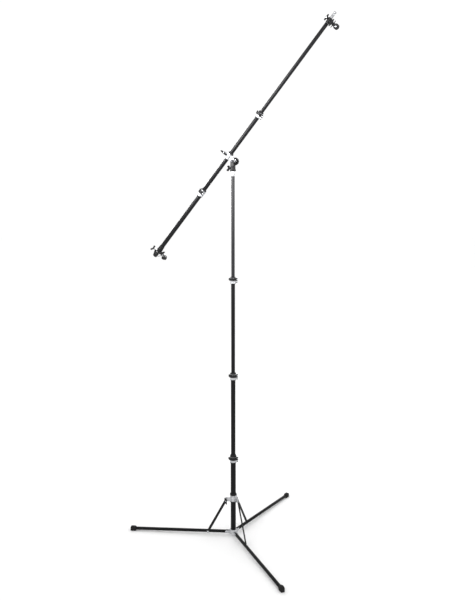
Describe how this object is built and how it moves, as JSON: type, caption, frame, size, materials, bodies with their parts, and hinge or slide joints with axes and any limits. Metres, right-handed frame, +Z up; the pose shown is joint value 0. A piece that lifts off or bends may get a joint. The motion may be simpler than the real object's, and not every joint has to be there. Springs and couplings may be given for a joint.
{
  "type": "telescopic light stand with boom",
  "caption": "Tall telescopic light stand on a folding leg base, with flip-lever locks and a tilting, sliding extension boom that has a spring clip at each end.",
  "frame": {"origin": "centre of the bottom casting's underside, on the column's axis; the floor is 18 mm below it", "axes": "+Z up along the column; the picture is taken from -Y, and +X is to its right"},
  "size_m": [1.3046, 1.2356, 3.2994],
  "materials": {
    "black_tube": "satin",
    "cast_silver": "satin",
    "black_casting": "matte",
    "black_strut": "satin",
    "black_rubber": "matte",
    "black_nylon": "matte",
    "zinc_steel": "satin",
    "chrome_stud": "polished"
  },
  "bodies": {
    "base": {"base_hub": "cast_silver", "tube_1": "black_tube", "lock_1_collar": "cast_silver", "lock_1_bush": "black_nylon", "lock_1_pin": "zinc_steel"},
    "leg_1": {"leg_1": "black_tube", "foot_1": "black_rubber"},
    "leg_2": {"leg_2": "black_tube", "foot_2": "black_rubber"},
    "leg_3": {"leg_3": "black_tube", "foot_3": "black_rubber"},
    "leg_collar": {"leg_collar": "cast_silver", "collar_bush": "black_nylon"},
    "strut_1": {"strut_1": "black_strut"},
    "strut_2": {"strut_2": "black_strut"},
    "strut_3": {"strut_3": "black_strut"},
    "collar_knob": {"collar_knob": "black_nylon"},
    "section_2": {"tube_2": "black_tube", "lock_2_collar": "cast_silver", "lock_2_bush": "black_nylon", "lock_2_pin": "zinc_steel"},
    "section_3": {"tube_3": "black_tube", "lock_3_collar": "cast_silver", "lock_3_bush": "black_nylon", "lock_3_pin": "zinc_steel"},
    "section_4": {"tube_4": "black_tube", "top_spigot": "cast_silver"},
    "lock_1_lever": {"lock_1_lever": "black_nylon"},
    "lock_2_lever": {"lock_2_lever": "black_nylon"},
    "lock_3_lever": {"lock_3_lever": "black_nylon"},
    "lock_4_lever": {"lock_4_lever": "black_nylon"},
    "lock_5_lever": {"lock_5_lever": "black_nylon"},
    "head": {"head_socket": "black_casting", "tilt_bolt": "zinc_steel", "tilt_washer": "zinc_steel"},
    "socket_knob": {"socket_knob": "black_nylon"},
    "tilt_knob": {"tilt_knob": "black_nylon"},
    "cradle": {"boom_sleeve": "cast_silver", "sleeve_flange": "black_nylon"},
    "sleeve_knob": {"sleeve_knob": "black_nylon"},
    "boom_middle": {"boom_middle_tube": "black_tube", "lock_5_collar": "cast_silver", "lock_5_bush": "black_nylon", "lock_5_pin": "zinc_steel"},
    "boom_rear": {"boom_rear_tube": "black_tube", "lock_4_collar": "cast_silver", "lock_4_bush": "black_nylon", "lock_4_pin": "zinc_steel", "rear_bracket": "black_casting"},
    "boom_front": {"boom_front_tube": "black_tube", "boom_stud": "chrome_stud"},
    "front_bracket": {"front_bracket": "black_casting"},
    "front_knob": {"front_knob": "black_nylon"},
    "rear_knob": {"rear_knob": "black_nylon"},
    "front_clip": {"front_clip_base": "black_casting"},
    "front_jaw": {"front_clip_jaw": "black_nylon"},
    "rear_clip": {"rear_clip_base": "black_casting"},
    "rear_jaw": {"rear_clip_jaw": "black_nylon"}
  },
  "joints": [
    {"name": "leg_1_fold", "type": "hinge", "parent": "base", "child": "leg_1", "pos_m": [-0.04575, 0.00481, 0.009], "axis": [0.1045, 0.9945, 0], "range_deg": [0, 85]},
    {"name": "leg_2_fold", "type": "hinge", "parent": "base", "child": "leg_2", "pos_m": [0.01871, -0.04202, 0.009], "axis": [-0.9135, -0.4067, 0], "range_deg": [0, 85]},
    {"name": "leg_3_fold", "type": "hinge", "parent": "base", "child": "leg_3", "pos_m": [0.02704, 0.03721, 0.009], "axis": [0.809, -0.5878, 0], "range_deg": [0, 85]},
    {"name": "collar_slide", "type": "slide", "parent": "base", "child": "leg_collar", "axis": [0, 0, 1], "range_m": [0, 0.15955]},
    {"name": "strut_1_swing", "type": "hinge", "parent": "leg_collar", "child": "strut_1", "pos_m": [-0.04908, -0.00771, 0.242], "axis": [-0.1045, -0.9945, 0], "range_deg": [0, 25.56]},
    {"name": "strut_2_swing", "type": "hinge", "parent": "leg_collar", "child": "strut_2", "pos_m": [0.03122, -0.03864, 0.242], "axis": [0.9135, 0.4067, 0], "range_deg": [0, 25.56]},
    {"name": "strut_3_swing", "type": "hinge", "parent": "leg_collar", "child": "strut_3", "pos_m": [0.01786, 0.04636, 0.242], "axis": [-0.809, 0.5878, 0], "range_deg": [0, 25.56]},
    {"name": "collar_knob_turn", "type": "hinge", "parent": "leg_collar", "child": "collar_knob", "pos_m": [-0.04971, -0.01378, 0.242], "axis": [-0.1045, -0.9945, 0], "continuous": true},
    {"name": "section_2_slide", "type": "slide", "parent": "base", "child": "section_2", "axis": [0, 0, 1], "range_m": [-0.415, 0]},
    {"name": "section_3_slide", "type": "slide", "parent": "section_2", "child": "section_3", "axis": [0, 0, 1], "range_m": [-0.55, 0]},
    {"name": "section_4_slide", "type": "slide", "parent": "section_3", "child": "section_4", "axis": [0, 0, 1], "range_m": [-0.6, 0]},
    {"name": "lock_1_flip", "type": "hinge", "parent": "base", "child": "lock_1_lever", "pos_m": [0.02835, -0.0076, 0.503], "axis": [0, 0, 1], "range_deg": [0, 90]},
    {"name": "lock_2_flip", "type": "hinge", "parent": "section_2", "child": "lock_2_lever", "pos_m": [0.02593, -0.00695, 1.073], "axis": [0, 0, 1], "range_deg": [0, 90]},
    {"name": "lock_3_flip", "type": "hinge", "parent": "section_3", "child": "lock_3_lever", "pos_m": [0.02352, -0.0063, 1.707], "axis": [0, 0, 1], "range_deg": [0, 90]},
    {"name": "lock_4_flip", "type": "hinge", "parent": "boom_rear", "child": "lock_4_lever", "pos_m": [-0.20965, 0.07591, 2.24874], "axis": [0.5886, -0.2745, 0.7604], "range_deg": [0, 90]},
    {"name": "lock_5_flip", "type": "hinge", "parent": "boom_middle", "child": "lock_5_lever", "pos_m": [0.16104, -0.08205, 2.70963], "axis": [0.5886, -0.2745, 0.7604], "range_deg": [0, 90]},
    {"name": "head_swivel", "type": "hinge", "parent": "section_4", "child": "head", "pos_m": [0, 0, 2.472], "axis": [0, 0, 1], "continuous": true},
    {"name": "socket_knob_turn", "type": "hinge", "parent": "head", "child": "socket_knob", "pos_m": [-0.01655, 0.00292, 2.429], "axis": [-0.9848, 0.1736, 0], "continuous": true},
    {"name": "tilt_knob_turn", "type": "hinge", "parent": "head", "child": "tilt_knob", "pos_m": [0, 0, 2.472], "axis": [0.4226, 0.9063, 0], "continuous": true},
    {"name": "boom_tilt", "type": "hinge", "parent": "head", "child": "cradle", "pos_m": [0, 0, 2.472], "axis": [-0.4226, -0.9063, 0], "range_deg": [-89.5, 10.5]},
    {"name": "sleeve_knob_turn", "type": "hinge", "parent": "cradle", "child": "sleeve_knob", "pos_m": [-0.05153, 0.00969, 2.52262], "axis": [-0.4226, -0.9063, 0], "continuous": true},
    {"name": "boom_slide", "type": "slide", "parent": "cradle", "child": "boom_middle", "axis": [0.5886, -0.2745, 0.7604], "range_m": [-0.25, 0.1]},
    {"name": "boom_rear_slide", "type": "slide", "parent": "boom_middle", "child": "boom_rear", "axis": [0.5886, -0.2745, 0.7604], "range_m": [0, 0.13]},
    {"name": "boom_front_slide", "type": "slide", "parent": "boom_middle", "child": "boom_front", "axis": [0.5886, -0.2745, 0.7604], "range_m": [-0.6, 0]},
    {"name": "front_bracket_turn", "type": "hinge", "parent": "boom_front", "child": "front_bracket", "pos_m": [0.53161, -0.2479, 3.22114], "axis": [0.5886, -0.2745, 0.7604], "continuous": true},
    {"name": "front_knob_turn", "type": "hinge", "parent": "front_bracket", "child": "front_knob", "pos_m": [0.52818, -0.25766, 3.24789], "axis": [-0.4226, -0.9063, 0], "continuous": true},
    {"name": "rear_knob_turn", "type": "hinge", "parent": "boom_rear", "child": "rear_knob", "pos_m": [-0.5288, 0.24659, 1.90971], "axis": [-0.6892, 0.3214, 0.6494], "continuous": true},
    {"name": "front_clip_turn", "type": "hinge", "parent": "front_bracket", "child": "front_clip", "pos_m": [0.55068, -0.25678, 3.22422], "axis": [0.6892, -0.3214, -0.6494], "continuous": true},
    {"name": "front_clip_open", "type": "hinge", "parent": "front_clip", "child": "front_jaw", "pos_m": [0.56653, -0.26418, 3.20928], "axis": [-0.5886, 0.2745, -0.7604], "range_deg": [0, 25], "stiffness_Nm_per_rad": 0.8, "springref_deg": -14.32},
    {"name": "rear_clip_turn", "type": "hinge", "parent": "boom_rear", "child": "rear_clip", "pos_m": [-0.48348, 0.22545, 1.88373], "axis": [0.6239, -0.2909, -0.7254], "continuous": true},
    {"name": "rear_clip_open", "type": "hinge", "parent": "rear_clip", "child": "rear_jaw", "pos_m": [-0.46913, 0.21876, 1.86705], "axis": [0.4226, 0.9063, 0], "range_deg": [0, 25], "stiffness_Nm_per_rad": 0.8, "springref_deg": -14.32}
  ],
  "couplings": [
    {"joint": "leg_2_fold", "follows": "leg_1_fold", "ratio": 1},
    {"joint": "leg_3_fold", "follows": "leg_1_fold", "ratio": 1},
    {"joint": "collar_slide", "follows": "leg_1_fold", "m_per_rad": 0.10748},
    {"joint": "strut_1_swing", "follows": "leg_1_fold", "ratio": 0.30053},
    {"joint": "strut_2_swing", "follows": "leg_1_fold", "ratio": 0.30053},
    {"joint": "strut_3_swing", "follows": "leg_1_fold", "ratio": 0.30053}
  ]
}
